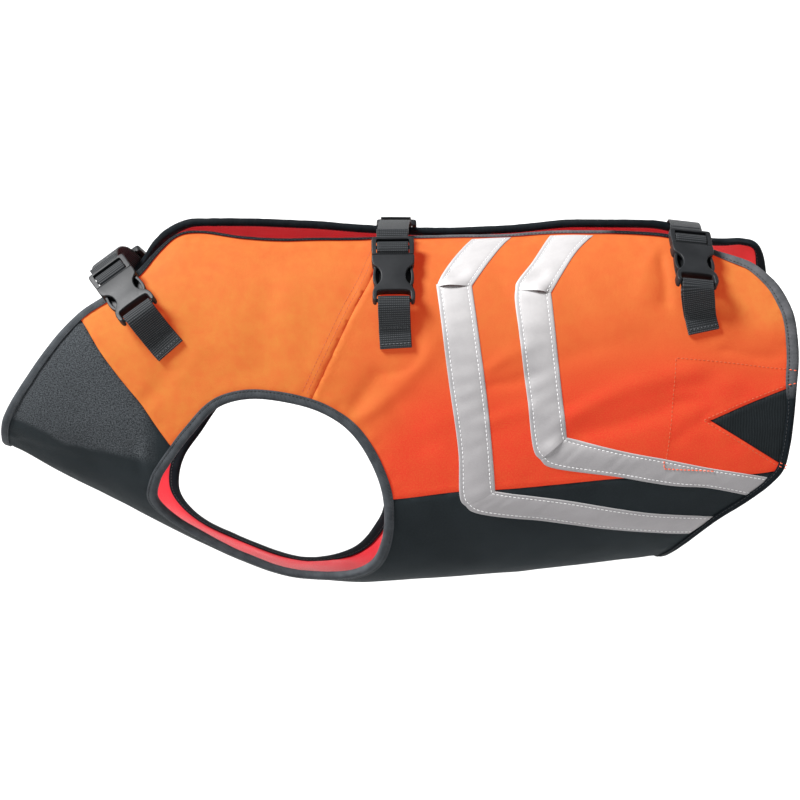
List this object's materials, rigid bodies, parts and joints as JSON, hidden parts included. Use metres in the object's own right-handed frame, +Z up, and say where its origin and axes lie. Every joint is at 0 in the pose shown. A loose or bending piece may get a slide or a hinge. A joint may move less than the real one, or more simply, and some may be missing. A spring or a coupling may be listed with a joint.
{
  "type": "dog hunting vest",
  "caption": "Sleeveless padded dog vest, filled out as worn, open along the back and closed over it by buckled webbing straps, with reflective tapes on the flanks.",
  "frame": {"origin": "on the centre plane in the open back, under the middle strap, where the wearer's back carries the vest", "axes": "+X towards the tail, +Y towards the wearer's right side, +Z up"},
  "size_m": [0.6395, 0.2111, 0.2974],
  "materials": {
    "orange_cloth": "smooth coated weave",
    "dark_cloth": "coarse grey at the chest, smooth black under the belly",
    "black_elastic": "ribbed elastic",
    "red_lining": "smooth lining",
    "reflective_tape": "silver reflective tape",
    "edge_binding_cloth": "woven binding",
    "webbing": "ribbed webbing",
    "buckle_plastic": "moulded matte"
  },
  "bodies": {
    "root": {"anchor_strap_front_left": "webbing", "anchor_strap_front_right": "webbing", "anchor_strap_middle_left": "webbing", "anchor_strap_middle_right": "webbing", "anchor_strap_rear_left": "webbing", "anchor_strap_rear_right": "webbing", "armhole_binding_left": "edge_binding_cloth", "armhole_binding_right": "edge_binding_cloth", "bridge_strap_front": "webbing", "bridge_strap_middle": "webbing", "bridge_strap_rear": "webbing", "buckle_female_front_left": "buckle_plastic", "buckle_female_front_right": "buckle_plastic", "buckle_female_middle_left": "buckle_plastic", "buckle_female_middle_right": "buckle_plastic", "buckle_female_rear_left": "buckle_plastic", "buckle_female_rear_right": "buckle_plastic", "buckle_male_front_left": "buckle_plastic", "buckle_male_front_right": "buckle_plastic", "buckle_male_middle_left": "buckle_plastic", "buckle_male_middle_right": "buckle_plastic", "buckle_male_rear_left": "buckle_plastic", "buckle_male_rear_right": "buckle_plastic", "edge_binding": "edge_binding_cloth", "flank_panel_left": "orange_cloth", "flank_panel_right": "orange_cloth", "gusset_left": "black_elastic", "gusset_right": "black_elastic", "lining": "red_lining", "shoulder_panel_left": "orange_cloth", "shoulder_panel_right": "orange_cloth", "tape_front_left": "reflective_tape", "tape_front_right": "reflective_tape", "tape_rear_left": "reflective_tape", "tape_rear_right": "reflective_tape", "underbody_panel": "dark_cloth"}
  },
  "joints": []
}
